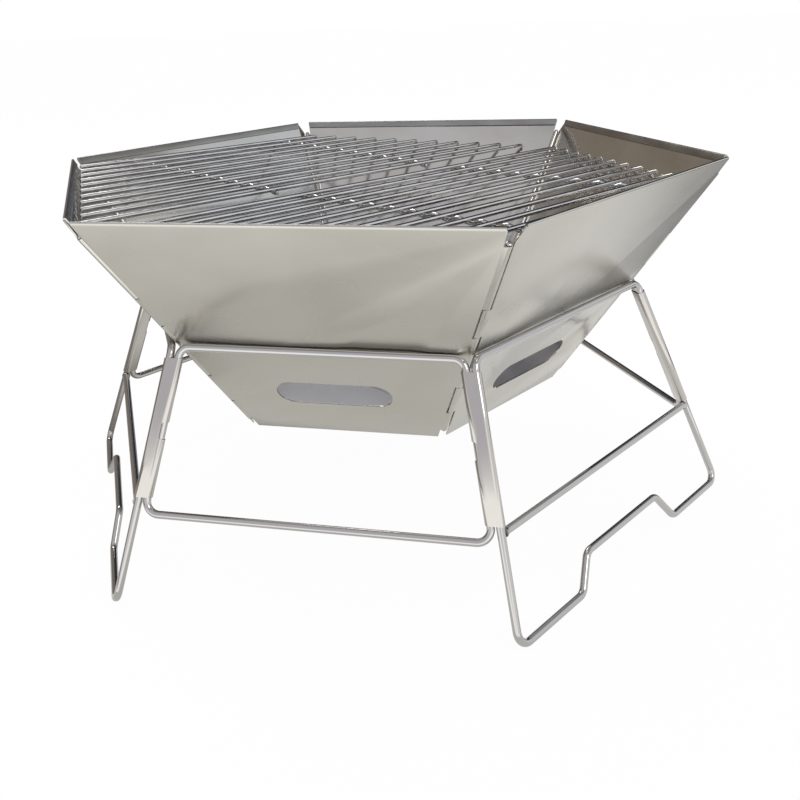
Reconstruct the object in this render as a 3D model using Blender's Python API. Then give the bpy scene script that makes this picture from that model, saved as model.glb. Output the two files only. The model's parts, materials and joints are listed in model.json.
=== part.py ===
"""Folding wood stove: a six-sided sheet metal bowl in a folding wire stand.

Metres, +Z up. The origin is on the ground under the middle of the hexagon. The front panel
faces -Y. The six corners are named by where they stand, seen from the front.
"""

import math

import bmesh
import bpy
from mathutils import Matrix, Vector

# Bowl: the hinge pins' axes, as a hexagon at the rim and one at the bottom.
RIM_RADIUS = 0.2396
RIM_Z = 0.2435
BOTTOM_RADIUS = 0.1299
BOTTOM_Z = 0.0827
SHEET = 0.0010
KNUCKLE_RADIUS = 0.0020
KNUCKLE_BORE = 0.00115
# With ten sides a flat, not a corner, lies along the sheet's face.
KNUCKLE_SIDES = 10
PIN_RADIUS = 0.0008
PIN_HEAD_RADIUS = 0.0016
PIN_HEAD = 0.0009
PIN_SIDES = 12
KNUCKLE_GAP = 0.0005
EDGE_RELIEF = 0.0024

# Distances down the slant of a panel, from the rim.
TOP_NOTCH = 0.0115
# How far the rim's ends stop from the pins: the front and back rims reach nearly to them.
NARROW_NOTCH = 0.0030
WIDE_NOTCH = 0.0078
KNUCKLE_ENDS = (0.012, 0.060, 0.084, 0.132, 0.159, 0.180)
TAB_TRIM = 0.0004
SHEET_TOP = 0.0004
HEM_HEIGHT = 0.0054
HEM_SHEET = 0.0006
HEM_GAP = 0.0002
HEM_LIP = 0.00005
HEM_END_GAP = 0.0006
VENT_DOWN = 0.1455
VENT_LENGTH = 0.076
VENT_HEIGHT = 0.022
VENT_ARC_STEPS = 8
# Cutters start this far behind a sheet and are this thick.
CUTTER_BACK = 0.004
CUTTER_DEPTH = 0.012

# Stand: the tall frames' legs lie on these corner lines.
WIRE_RADIUS = 0.0025
WIRE_SIDES = 10
BELT_RADIUS = 0.1862
BELT_Z = 0.1557
FOOT_RADIUS = 0.2543
FOOT_Z = WIRE_RADIUS * math.cos(math.pi / WIRE_SIDES)
BEND_RADIUS = 0.008
BEND_STEPS = 3
FOOT_BAR_INNER = 0.0595
RISER_TOP_HALF = 0.0441
RISER_TOP_Z = 0.0224
CROSSBAR_Z = 0.0637
LOW_BAR_Z = 0.0579
WELD_GAP = 0.0003

# Sleeves: two tubes side by side, one on a leg and one on the next frame's side.
SLEEVE_BORE = 0.0028
SLEEVE_RADIUS = 0.0031
SLEEVE_SPACING = 0.0055
SLEEVE_ARC_STEPS = 9
SLEEVE_TOP_Z = 0.1492
SLEEVE_BOTTOM_Z = 0.0677
WINDOW_TOP_Z = 0.112
WINDOW_BOTTOM_Z = 0.102
WINDOW_REACH = 0.008

# Grates: two halves, split along the line from the front left corner to the back right one.
BAR_RADIUS = 0.0015
BAR_SIDES = 8
BAR_COUNT = 11
BAR_PITCH = 0.017
# From a bar's middle line to the panel that it ends at, measured level.
BAR_END_GAP = 0.0027
ROD_RADIUS = 0.00125
ROD_SIDES = 6
ROD_OFFSET = 0.077
ROD_END = 0.0035
ROD_DROP = 0.0024
ROD_ARCH = 0.0012
# Each half lies loose and leans a little: which side of the split line it is on, how far from the
# line its first bar is, its height over the hexagon's middle, and its rise along +X and +Y.
GRATE_HALVES = {
    "grate_front_right": (1, 0.0102, 0.2286, (-0.013, -0.028)),
    "grate_back_left": (-1, 0.0215, 0.2280, (-0.045, -0.0075)),
}

# Plates inside the bowl, resting between its slanted sheets.
COAL_PLATE_Z = 0.1042
ASH_PLATE_Z = 0.0878
PLATE_SHEET = 0.0012
PLATE_GAP = 0.0006
PLATE_CORNER_CUT = 0.0135
COAL_HOLE_RADIUS = 0.0075
COAL_HOLE_SIDES = 6
COAL_HOLE_PITCH = 0.030
COAL_RINGS = 2

CORNER_ANGLES = {
    "front_left": 240,
    "front_right": 300,
    "right": 0,
    "back_right": 60,
    "back_left": 120,
    "left": 180,
}
CORNERS = list(CORNER_ANGLES)
# Here both rings part when they fold: the knuckles and the sleeve are hooks, open outwards by
# the slot gap more than what they hold.
PARTING_CORNER = "back_left"
SLOT_GAP = 0.0007
# A side lies between a corner and the next one; frames alternate tall and short.
SIDES = ("front", "front_right", "back_right", "back", "back_left", "front_left")
UP = Vector((0, 0, 1))
# Edges sharper than this stay crisp.
SHEET_SHARP_DEGREES = 35
WIRE_SHARP_DEGREES = 50

COLOURS = {
    "panel_steel": ((0.56, 0.55, 0.53), 0.28),
    "chromed_wire": ((0.62, 0.62, 0.63), 0.16),
    "sleeve_steel": ((0.48, 0.47, 0.46), 0.30),
    "pin_steel": ((0.60, 0.60, 0.60), 0.22),
    "grate_steel": ((0.58, 0.58, 0.59), 0.20),
    "plate_steel": ((0.45, 0.44, 0.43), 0.35),
}


def clear_scene():
    for old in list(bpy.data.objects):
        bpy.data.objects.remove(old, do_unlink=True)


def steel(name):
    material = bpy.data.materials.get(name)
    if material:
        return material
    colour, roughness = COLOURS[name]
    material = bpy.data.materials.new(name)
    material.use_nodes = True
    shader = material.node_tree.nodes["Principled BSDF"]
    shader.inputs["Base Color"].default_value = (*colour, 1)
    shader.inputs["Roughness"].default_value = roughness
    shader.inputs["Metallic"].default_value = 1
    return material


def add_object(name, bm, origin=Vector((0, 0, 0))):
    """A mesh object with its origin moved to a point of the piece, such as its joint's axis."""
    bmesh.ops.recalc_face_normals(bm, faces=bm.faces)
    mesh = bpy.data.meshes.new(name)
    bm.to_mesh(mesh)
    bm.free()
    mesh.transform(Matrix.Translation(-origin))
    obj = bpy.data.objects.new(name, mesh)
    obj.location = origin
    bpy.context.scene.collection.objects.link(obj)
    return obj


def boolean(obj, operation, tools):
    """Cuts or joins the tools, then keeps the result as the object's own mesh."""
    for tool in tools:
        modifier = obj.modifiers.new(operation.lower(), "BOOLEAN")
        modifier.operation = operation
        modifier.solver = "EXACT"
        modifier.object = tool
    bpy.context.view_layer.update()
    graph = bpy.context.evaluated_depsgraph_get()
    mesh = bpy.data.meshes.new_from_object(obj.evaluated_get(graph))
    obj.modifiers.clear()
    obj.data = mesh
    for tool in tools:
        bpy.data.objects.remove(tool, do_unlink=True)


def finish(obj, material, sharp_degrees=SHEET_SHARP_DEGREES):
    obj.data.materials.clear()
    obj.data.materials.append(steel(material))
    obj.data.shade_smooth()
    obj.data.set_sharp_from_angle(angle=math.radians(sharp_degrees))


def around(angle_degrees, radius, z):
    angle = math.radians(angle_degrees)
    return Vector((radius * math.cos(angle), radius * math.sin(angle), z))


def rim_point(corner):
    return around(CORNER_ANGLES[corner], RIM_RADIUS, RIM_Z)


def bottom_point(corner):
    return around(CORNER_ANGLES[corner], BOTTOM_RADIUS, BOTTOM_Z)


def side_corners(side):
    index = SIDES.index(side)
    return CORNERS[index], CORNERS[(index + 1) % len(CORNERS)]


def leg_point(corner, z):
    """The point of a stand corner line at a height."""
    rise = (z - FOOT_Z) / (BELT_Z - FOOT_Z)
    return around(CORNER_ANGLES[corner], FOOT_RADIUS + (BELT_RADIUS - FOOT_RADIUS) * rise, z)


# Solids from simple sections.


def tube_rings(path, radius, sides, phase, normal, closed):
    """Rings of points round a path that stays in one plane with the given normal."""
    rings = []
    count = len(path)
    for index, point in enumerate(path):
        before = path[index - 1] if closed or index else point
        after = path[(index + 1) % count] if closed or index < count - 1 else point
        tangent = (after - before).normalized()
        across = normal.cross(tangent).normalized()
        # Where the path bends, the ring lies on the bisecting plane and is stretched to suit.
        into = (point - before).normalized() if point != before else tangent
        stretch = 1 / max(tangent.dot(into), 0.5)
        ring = []
        for side in range(sides):
            turn = phase + 2 * math.pi * side / sides
            ring.append(
                point + across * (radius * math.cos(turn) * stretch) + normal * (radius * math.sin(turn))
            )
        rings.append(ring)
    return rings


def tube(path, radius, sides, normal, phase=0.0, closed=False):
    bm = bmesh.new()
    rings = [
        [bm.verts.new(point) for point in ring]
        for ring in tube_rings(path, radius, sides, phase, normal, closed)
    ]
    pairs = zip(rings, rings[1:] + rings[:1]) if closed else zip(rings, rings[1:])
    for first, second in pairs:
        for side in range(sides):
            after = (side + 1) % sides
            bm.faces.new((first[side], first[after], second[after], second[side]))
    if not closed:
        bm.faces.new(rings[0])
        bm.faces.new(reversed(rings[-1]))
    return bm


def rounded(points, radius, steps):
    """A closed polyline with each corner replaced by an arc of the bend radius."""
    path = []
    count = len(points)
    for index, corner in enumerate(points):
        back = (points[index - 1] - corner).normalized()
        ahead = (points[(index + 1) % count] - corner).normalized()
        half = back.angle(ahead) / 2
        reach = radius / math.tan(half)
        centre = corner + (back + ahead).normalized() * (radius / math.sin(half))
        start = corner + back * reach - centre
        axis = back.cross(ahead).normalized()
        sweep = math.pi - 2 * half
        for step in range(steps + 1):
            turn = Matrix.Rotation(-sweep * step / steps, 3, axis)
            path.append(centre + turn @ start)
    return path


def cylinder(start, end, radius, sides, phase=0.0):
    direction = (end - start).normalized()
    normal = direction.orthogonal().normalized()
    return tube([start, end], radius, sides, normal, phase)


def pipe(start, end, outer, bore, sides, normal, phase=0.0):
    """A straight open tube with a wall."""
    bm = bmesh.new()
    rings = []
    for radius in (outer, bore):
        for ring in tube_rings([start, end], radius, sides, phase, normal, False):
            rings.append([bm.verts.new(point) for point in ring])
    loops = (rings[0], rings[1], rings[3], rings[2])
    for index, first in enumerate(loops):
        second = loops[(index + 1) % len(loops)]
        for side in range(sides):
            after = (side + 1) % sides
            bm.faces.new((first[side], first[after], second[after], second[side]))
    return bm


def slab(outline, offset):
    """A flat outline pushed along an offset."""
    bm = bmesh.new()
    base = [bm.verts.new(point) for point in outline]
    top = [bm.verts.new(point + offset) for point in outline]
    bm.faces.new(base)
    bm.faces.new(reversed(top))
    for index in range(len(base)):
        after = (index + 1) % len(base)
        bm.faces.new((base[index], base[after], top[after], top[index]))
    return bm


# The bowl.


class PanelPlane:
    """Places a point given across a panel, down its slant and out of it."""

    def __init__(self, side):
        first, second = side_corners(side)
        self.side, self.first, self.second = side, first, second
        top_left, top_right = rim_point(first), rim_point(second)
        low_left, low_right = bottom_point(first), bottom_point(second)
        self.origin = (top_left + top_right) / 2
        down = (low_left + low_right) / 2 - self.origin
        self.slant = down.length
        self.down = down.normalized()
        self.across = (top_right - top_left).normalized()
        self.out = self.down.cross(self.across).normalized()
        self.top_half = (top_right - top_left).length / 2
        self.low_half = (low_right - low_left).length / 2

    def at(self, across, down, out):
        return self.origin + self.across * across + self.down * down + self.out * out

    def half_width(self, down):
        return self.top_half + (self.low_half - self.top_half) * down / self.slant

    def lean(self):
        """How much longer a line along an edge is than straight down the slant."""
        return math.hypot(1, (self.top_half - self.low_half) / self.slant)

    def rim_cut(self, hand):
        corner = self.second if hand > 0 else self.first
        wide = self.side not in ("front", "back") and corner not in ("left", "right")
        return WIDE_NOTCH if wide else NARROW_NOTCH

    def axis_point(self, hand, down):
        return self.at(hand * self.half_width(down), down, 0)

    def beside_axis(self, hand, down, depth):
        """Across and down of the point that lies a depth in from the pin, square to it."""
        run = math.hypot(self.slant, self.top_half - self.low_half)
        across = self.half_width(down) - depth * self.slant / run
        return hand * across, down - depth * (self.top_half - self.low_half) / run


def knuckle_spans(hand):
    """Spans down one edge that carry this panel's own knuckles: three right, two left."""
    ends = KNUCKLE_ENDS
    spans = list(zip(ends, ends[1:]))
    return spans[0::2] if hand > 0 else spans[1::2]


def edge_profile(plane, hand):
    """The sheet's edge from rim to bottom: out to the pin at its own knuckles, else cut back."""
    trim = KNUCKLE_GAP / 2 + TAB_TRIM
    steps = [(plane.rim_cut(hand), SHEET_TOP), (EDGE_RELIEF, TOP_NOTCH)]
    for start, end in knuckle_spans(hand):
        steps.append((EDGE_RELIEF, start + trim))
        steps.append((0.0, start + trim))
        steps.append((0.0, end - trim))
        steps.append((EDGE_RELIEF, end - trim))
    steps.append((EDGE_RELIEF, plane.slant))
    points = []
    for depth, down in steps:
        if down in (SHEET_TOP, plane.slant):
            points.append((hand * (plane.half_width(down) - depth * plane.lean()), down))
        else:
            # Square to the pin, so that the next panel's knuckles pass.
            points.append(plane.beside_axis(hand, down, depth))
    return points


def panel_sheet(plane):
    inner = KNUCKLE_RADIUS - SHEET
    right = edge_profile(plane, 1)
    left = edge_profile(plane, -1)
    outline = [plane.at(x, y, inner) for x, y in right + left[::-1]]
    return slab(outline, plane.out * SHEET)


def hem(plane):
    """The rim's edge folded inwards and down, left a little open at its lip."""
    inner = KNUCKLE_RADIUS - SHEET
    section = (
        (0.0, KNUCKLE_RADIUS - SHEET / 2),
        (0.0, inner - HEM_GAP - HEM_SHEET),
        (HEM_HEIGHT, HEM_LIP),
        (HEM_HEIGHT, HEM_LIP + HEM_SHEET),
        (HEM_SHEET, inner - HEM_GAP),
        (HEM_SHEET, KNUCKLE_RADIUS - SHEET / 2),
    )
    bm = bmesh.new()
    ends = []
    for hand in (-1, 1):
        reach = plane.top_half - plane.rim_cut(hand) * plane.lean() - HEM_END_GAP
        ring = []
        for down, out in section:
            slope = (plane.top_half - plane.low_half) / plane.slant * down
            ring.append(bm.verts.new(plane.at(hand * (reach - slope), down, out)))
        ends.append(ring)
    count = len(section)
    for index in range(count):
        after = (index + 1) % count
        bm.faces.new((ends[0][index], ends[0][after], ends[1][after], ends[1][index]))
    bm.faces.new(ends[0])
    bm.faces.new(reversed(ends[1]))
    return bm


def vent_cutter(plane):
    half = VENT_LENGTH / 2 - VENT_HEIGHT / 2
    outline = []
    for hand, start in ((1, -math.pi / 2), (-1, math.pi / 2)):
        for step in range(VENT_ARC_STEPS + 1):
            turn = start + math.pi * step / VENT_ARC_STEPS
            across = hand * half + VENT_HEIGHT / 2 * math.cos(turn)
            down = VENT_DOWN + VENT_HEIGHT / 2 * math.sin(turn)
            outline.append(plane.at(across, down, -CUTTER_BACK))
    return slab(outline, plane.out * CUTTER_DEPTH)


def knuckle(plane, hand, start, end):
    """A rolled knuckle, flush with the sheet's outer face."""
    top = plane.axis_point(hand, start + KNUCKLE_GAP / 2)
    low = plane.axis_point(hand, end - KNUCKLE_GAP / 2)
    return pipe(top, low, KNUCKLE_RADIUS, KNUCKLE_BORE, KNUCKLE_SIDES, plane.out)


def make_panel(side):
    plane = PanelPlane(side)
    first = rim_point(plane.first)
    panel = add_object(f"panel_{side}", panel_sheet(plane), first)
    joins = [add_object("hem_tool", hem(plane))]
    for hand in (-1, 1):
        for start, end in knuckle_spans(hand):
            joins.append(add_object("knuckle_tool", knuckle(plane, hand, start, end)))
    boolean(panel, "UNION", joins)
    cuts = [add_object("vent_tool", vent_cutter(plane))]
    if plane.first == PARTING_CORNER:
        for start, end in knuckle_spans(-1):
            axis = [plane.axis_point(-1, down) for down in (start, end)]
            slot = outward_slot(axis, plane.across, plane.out, PIN_RADIUS)
            cuts.append(add_object("slot_tool", slot))
    boolean(panel, "DIFFERENCE", cuts)
    finish(panel, "panel_steel")


def make_hinge_pin(corner):
    """A pin through the knuckles of one corner, with a head at each end."""
    top, low = rim_point(corner), bottom_point(corner)
    slant = PanelPlane(SIDES[0]).slant
    direction = (low - top).normalized()
    scale = (low - top).length / slant
    start = top + direction * (KNUCKLE_ENDS[0] * scale)
    end = top + direction * (KNUCKLE_ENDS[-1] * scale)
    pin = add_object(
        f"hinge_pin_{corner}",
        cylinder(start - direction * PIN_HEAD, end + direction * PIN_HEAD, PIN_RADIUS, PIN_SIDES),
        start,
    )
    heads = []
    for base, away in ((start, -direction), (end, direction)):
        near, far = base + away * WELD_GAP, base + away * (WELD_GAP + PIN_HEAD)
        heads.append(add_object("head_tool", cylinder(near, far, PIN_HEAD_RADIUS, PIN_SIDES)))
    boolean(pin, "UNION", heads)
    finish(pin, "pin_steel")


# The stand.


class FramePlane:
    """Places a point of a stand frame given across it and by its height."""

    def __init__(self, side):
        first, second = side_corners(side)
        self.first, self.second = first, second
        left, right = leg_point(first, FOOT_Z), leg_point(second, FOOT_Z)
        top_left, top_right = leg_point(first, BELT_Z), leg_point(second, BELT_Z)
        self.across = (right - left).normalized()
        self.foot = (left + right) / 2
        self.rise = ((top_left + top_right) / 2 - self.foot) / (BELT_Z - FOOT_Z)
        self.up = self.rise.normalized()
        self.out = self.across.cross(self.up).normalized()
        self.foot_half = (right - left).length / 2
        self.belt_half = (top_right - top_left).length / 2
        # Turns the wire's section so that one of its flats lies on the ground.
        self.flat_phase = math.atan2(self.up.dot(self.level_out()), self.up.z)

    def level_out(self):
        return Vector((self.rise.x, self.rise.y, 0)).normalized()

    def half_width(self, z):
        share = (z - FOOT_Z) / (BELT_Z - FOOT_Z)
        return self.foot_half + (self.belt_half - self.foot_half) * share

    def at(self, across, z):
        return self.foot + self.rise * (z - FOOT_Z) + self.across * across

    def leg_lean(self):
        climb = (self.rise * (BELT_Z - FOOT_Z)).length
        return (self.foot_half - self.belt_half) / climb

    def side_inset(self):
        """How far across a frame a line lies that is one sleeve spacing inside the leg."""
        return SLEEVE_SPACING * math.hypot(1, self.leg_lean())


def wire_phase(plane):
    """Phase that puts a flat of the wire square to the ground where the wire runs level."""
    return math.pi / WIRE_SIDES - plane.flat_phase


def make_tall_frame(side):
    plane = FramePlane(side)
    corners = [
        (-plane.belt_half, BELT_Z),
        (plane.belt_half, BELT_Z),
        (plane.foot_half, FOOT_Z),
        (FOOT_BAR_INNER, FOOT_Z),
        (RISER_TOP_HALF, RISER_TOP_Z),
        (-RISER_TOP_HALF, RISER_TOP_Z),
        (-FOOT_BAR_INNER, FOOT_Z),
        (-plane.foot_half, FOOT_Z),
    ]
    path = rounded([plane.at(*corner) for corner in corners], BEND_RADIUS, BEND_STEPS)
    frame = add_object(
        f"tall_frame_{side}",
        tube(path, WIRE_RADIUS, WIRE_SIDES, plane.out, wire_phase(plane), True),
        leg_point(plane.first, FOOT_Z),
    )
    finish(frame, "chromed_wire", WIRE_SHARP_DEGREES)


def make_crossbar(side):
    """The bar welded between a tall frame's legs, under the sleeves."""
    plane = FramePlane(side)
    lean = plane.leg_lean()
    reach = plane.half_width(CROSSBAR_Z) - WIRE_RADIUS * (math.hypot(1, lean) + lean) - WELD_GAP
    path = [plane.at(-reach, CROSSBAR_Z), plane.at(reach, CROSSBAR_Z)]
    bar = add_object(
        f"crossbar_{side}",
        tube(path, WIRE_RADIUS, WIRE_SIDES, plane.out, wire_phase(plane)),
        plane.at(0, CROSSBAR_Z),
    )
    finish(bar, "chromed_wire", WIRE_SHARP_DEGREES)


def make_short_frame(side):
    plane = FramePlane(side)
    inset = plane.side_inset()
    corners = [
        (-plane.belt_half + inset, BELT_Z),
        (plane.belt_half - inset, BELT_Z),
        (plane.half_width(LOW_BAR_Z) - inset, LOW_BAR_Z),
        (-plane.half_width(LOW_BAR_Z) + inset, LOW_BAR_Z),
    ]
    path = rounded([plane.at(*corner) for corner in corners], BEND_RADIUS, BEND_STEPS)
    frame = add_object(
        f"short_frame_{side}",
        tube(path, WIRE_RADIUS, WIRE_SIDES, plane.out, wire_phase(plane), True),
        leg_point(plane.first, BELT_Z),
    )
    finish(frame, "chromed_wire", WIRE_SHARP_DEGREES)


def oval_block(axes, radius, plane, beyond=0.0):
    """An oval prism round two parallel lines, with level ends a little beyond theirs."""
    stretch = math.hypot(1, plane.leg_lean())
    along = (axes[0][0] - axes[0][1]).normalized()
    towards = (axes[1][1] - axes[0][1]).normalized()
    outline = []
    for (top, low), start in zip(axes, (90, -90)):
        for step in range(SLEEVE_ARC_STEPS + 1):
            turn = math.radians(start + 180 * step / SLEEVE_ARC_STEPS)
            side = towards * (radius * stretch * math.cos(turn)) + plane.out * (radius * math.sin(turn))
            outline.append(low - along * beyond + side)
    return slab(outline, axes[0][0] - axes[0][1] + along * (2 * beyond))


def make_sleeve(corner, side):
    """A strip wrapped round two legs as one oval tube, with a window on the frame's side."""
    plane = FramePlane(side)
    hand = -1 if corner == plane.first else 1
    inset = plane.side_inset()

    def on_line(z, inwards):
        return plane.at(hand * (plane.half_width(z) - inwards), z)

    ends = (SLEEVE_TOP_Z, SLEEVE_BOTTOM_Z)
    axes = [[on_line(z, inwards) for z in ends] for inwards in (0, inset)]
    sleeve = add_object(f"sleeve_{corner}", oval_block(axes, SLEEVE_RADIUS, plane), axes[0][1])
    cuts = [add_object("bore_tool", oval_block(axes, SLEEVE_BORE, plane, CUTTER_BACK))]
    inward = -hand * plane.across
    behind = -plane.out * CUTTER_DEPTH / 2
    high, deep = [on_line(z, inset) + behind for z in (WINDOW_TOP_Z, WINDOW_BOTTOM_Z)]
    outline = [high, high + inward * WINDOW_REACH, deep + inward * WINDOW_REACH, deep]
    cuts.append(add_object("window_tool", slab(outline, plane.out * CUTTER_DEPTH)))
    if corner == PARTING_CORNER:
        cuts.append(add_object("slot_tool", outward_slot(axes[0], inward, plane.out, WIRE_RADIUS)))
    boolean(sleeve, "DIFFERENCE", cuts)
    finish(sleeve, "sleeve_steel")


def outward_slot(axis, inward, out, radius):
    """A cutter that opens a tube outwards, so that what it holds can leave sideways."""
    along = (axis[0] - axis[1]).normalized()
    inward = (inward - along * inward.dot(along)).normalized()
    reach = 3 * radius
    start, end = axis[0] + along * reach, axis[1] - along * reach
    near, far = inward * (radius + SLOT_GAP), -inward * reach
    return slab([start + near, start + far, end + far, end + near], out * reach)


# Grates and plates.


class GratePlane:
    """Places a point of a grate half given along its bars and across them from the split line."""

    def __init__(self, name):
        self.hand, self.first_bar, self.height, self.rise = GRATE_HALVES[name]
        angle = math.radians(CORNER_ANGLES["back_right"])
        self.origin = UP * self.height
        self.along = self.leaning(math.cos(angle), math.sin(angle))
        self.across = self.leaning(math.sin(angle), -math.cos(angle)) * self.hand
        self.up = self.across.cross(self.along).normalized() * self.hand

    def leaning(self, x, y):
        return Vector((x, y, x * self.rise[0] + y * self.rise[1]))

    def at(self, along, across, up=0.0):
        return self.origin + self.along * along + self.across * across + self.up * up

    def bar_across(self, index):
        return self.first_bar + BAR_PITCH * index


def run_to_wall(point, direction):
    """How far a bar runs from a point inside the bowl until it ends before a panel."""
    slope = bowl_apothem(1) - bowl_apothem(0)
    runs = []
    for side in SIDES:
        outwards = around(CORNER_ANGLES[side_corners(side)[0]] + 30, 1, 0)
        closing = direction.dot(outwards) - slope * direction.z
        if closing > 0:
            runs.append((bowl_apothem(point.z) - BAR_END_GAP - point.dot(outwards)) / closing)
    return min(runs)


def grate_bar(plane, across):
    middle = plane.at(0, across)
    ends = [middle + way * run_to_wall(middle, way) for way in (-plane.along, plane.along)]
    return tube(ends, BAR_RADIUS, BAR_SIDES, plane.up, math.pi / BAR_SIDES)


def crimped_rod(plane, offset):
    """A rod under the bars, welded to each bar and arched up a little between them."""
    path = [plane.at(offset, plane.bar_across(0) - ROD_END, -ROD_DROP)]
    for index in range(BAR_COUNT):
        across = plane.bar_across(index)
        path.append(plane.at(offset, across, -ROD_DROP))
        if index < BAR_COUNT - 1:
            path.append(plane.at(offset, across + BAR_PITCH / 2, ROD_ARCH - ROD_DROP))
    path.append(plane.at(offset, plane.bar_across(BAR_COUNT - 1) + ROD_END, -ROD_DROP))
    return tube(path, ROD_RADIUS, ROD_SIDES, plane.across.cross(plane.up).normalized())


def make_grate_half(name):
    plane = GratePlane(name)
    half = add_object(name, crimped_rod(plane, -ROD_OFFSET))
    joins = [add_object("rod_tool", crimped_rod(plane, ROD_OFFSET))]
    for index in range(BAR_COUNT):
        joins.append(add_object("bar_tool", grate_bar(plane, plane.bar_across(index))))
    boolean(half, "UNION", joins)
    finish(half, "grate_steel", WIRE_SHARP_DEGREES)


def bowl_apothem(z):
    """Clear half width of the bowl between opposite sheets' inner faces at a height."""
    share = (z - BOTTOM_Z) / (RIM_Z - BOTTOM_Z)
    radius = BOTTOM_RADIUS + (RIM_RADIUS - BOTTOM_RADIUS) * share
    slope = (RIM_RADIUS - BOTTOM_RADIUS) * math.sqrt(3) / 2 / (RIM_Z - BOTTOM_Z)
    return radius * math.sqrt(3) / 2 + (KNUCKLE_RADIUS - SHEET) * math.hypot(1, slope)


def plate_outline(z, apothem):
    """A hexagon with its corners cut to clear the knuckles."""
    side = 2 * apothem / math.sqrt(3)
    points = []
    for angle in CORNER_ANGLES.values():
        tip = around(angle, side, z)
        for turn in (-120, 120):
            points.append(tip + around(angle + turn, PLATE_CORNER_CUT, 0))
    return points


def make_plate(name, z, holes):
    apothem = bowl_apothem(z) - PLATE_GAP
    plate = add_object(name, slab(plate_outline(z, apothem), UP * PLATE_SHEET))
    if holes:
        tools = []
        for x, y in holes:
            start = Vector((x, y, z - CUTTER_BACK))
            hole = cylinder(start, start + UP * CUTTER_DEPTH, COAL_HOLE_RADIUS, COAL_HOLE_SIDES)
            tools.append(add_object("hole_tool", hole))
        boolean(plate, "DIFFERENCE", tools)
    finish(plate, "plate_steel")


def coal_holes():
    """Holes on a triangular grid, ring by ring round the middle."""
    found = []
    for row in range(-COAL_RINGS, COAL_RINGS + 1):
        count = 2 * COAL_RINGS + 1 - abs(row)
        for index in range(count):
            x = (index - (count - 1) / 2) * COAL_HOLE_PITCH
            found.append((x, row * COAL_HOLE_PITCH * math.sqrt(3) / 2))
    return found


def main():
    clear_scene()
    for side in SIDES:
        make_panel(side)
    for corner in CORNERS:
        make_hinge_pin(corner)
    for side in SIDES[1::2]:
        make_tall_frame(side)
        make_crossbar(side)
    for side in SIDES[0::2]:
        make_short_frame(side)
        for corner in side_corners(side):
            make_sleeve(corner, side)
    for name in GRATE_HALVES:
        make_grate_half(name)
    make_plate("charcoal_plate", COAL_PLATE_Z, coal_holes())
    make_plate("ash_plate", ASH_PLATE_Z, [])


main()
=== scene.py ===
"""Looks of a folding wood stove: a six-sided stainless bowl and two grates on a folding wire stand.

Metres, +Z up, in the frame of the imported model. The front panel faces -Y. Every piece here stands
for a solid of the same name and rides on that solid's body.
"""

import json
import math

import bmesh
import bpy
from mathutils import Matrix, Vector


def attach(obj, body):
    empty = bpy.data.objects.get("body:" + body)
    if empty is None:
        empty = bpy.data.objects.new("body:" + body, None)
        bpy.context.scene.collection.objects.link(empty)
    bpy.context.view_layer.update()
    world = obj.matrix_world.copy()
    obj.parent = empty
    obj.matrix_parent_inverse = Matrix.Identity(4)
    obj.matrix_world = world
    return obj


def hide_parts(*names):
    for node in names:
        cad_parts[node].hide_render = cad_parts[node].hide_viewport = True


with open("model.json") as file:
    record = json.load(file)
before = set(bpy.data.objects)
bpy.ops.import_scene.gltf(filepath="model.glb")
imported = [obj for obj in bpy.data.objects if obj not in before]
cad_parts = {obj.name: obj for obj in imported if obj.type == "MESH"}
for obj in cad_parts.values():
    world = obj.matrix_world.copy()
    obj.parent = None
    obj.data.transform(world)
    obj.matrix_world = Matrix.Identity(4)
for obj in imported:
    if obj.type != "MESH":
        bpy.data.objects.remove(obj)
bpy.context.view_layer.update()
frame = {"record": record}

# Bowl, from the part's own dimensions: the hinge pins' axes at the rim and at the bottom.
RIM_RADIUS = 0.2396
RIM_Z = 0.2435
BOTTOM_RADIUS = 0.1299
BOTTOM_Z = 0.0827
SHEET = 0.0010
KNUCKLE_RADIUS = 0.0020
KNUCKLE_BORE = 0.00115
KNUCKLE_SIDES = 28
KNUCKLE_GAP = 0.0005
EDGE_RELIEF = 0.0024
PIN_RADIUS = 0.0008
PIN_HEAD_RADIUS = 0.0016
PIN_HEAD = 0.0009
PIN_SIDES = 20
# The peened head's dome from its top down, as shares of its height and its radius.
PIN_DOME = ((1.0, 0.35), (0.85, 0.75), (0.45, 1.0), (0.0, 1.0))
PIN_END_GAP = 0.0003
# Under the head the rod steps in within this length.
PIN_STEP = 0.00001

# Distances down the slant of a panel, from the rim.
TOP_NOTCH = 0.0115
# How far the rim's ends stop from the pins: the front and back rims reach nearly to them.
NARROW_NOTCH = 0.0030
WIDE_NOTCH = 0.0078
KNUCKLE_ENDS = (0.012, 0.060, 0.084, 0.132, 0.159, 0.180)
TAB_TRIM = 0.0004
FOLD_RADIUS = 0.00105
FOLD_STEPS = 8
HEM_HEIGHT = 0.0054
HEM_SHEET = 0.0008
HEM_LIP = 0.00005
HEM_END_GAP = 0.0006
# The fold starts a little inside the sheet, so that the two join as one.
HEM_OVERLAP = 0.001
VENT_DOWN = 0.1455
VENT_LENGTH = 0.076
VENT_HEIGHT = 0.022
VENT_ARC_STEPS = 18
CUTTER_BACK = 0.004
CUTTER_DEPTH = 0.012
SHEET_EDGE = 0.00018
# How many radii a slot's cutter reaches past the tube that it opens.
SLOT_REACH = 3
# A face of a panel counts as its outer side when it faces out at least this squarely.
OUTER_FACING = 0.9

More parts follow.
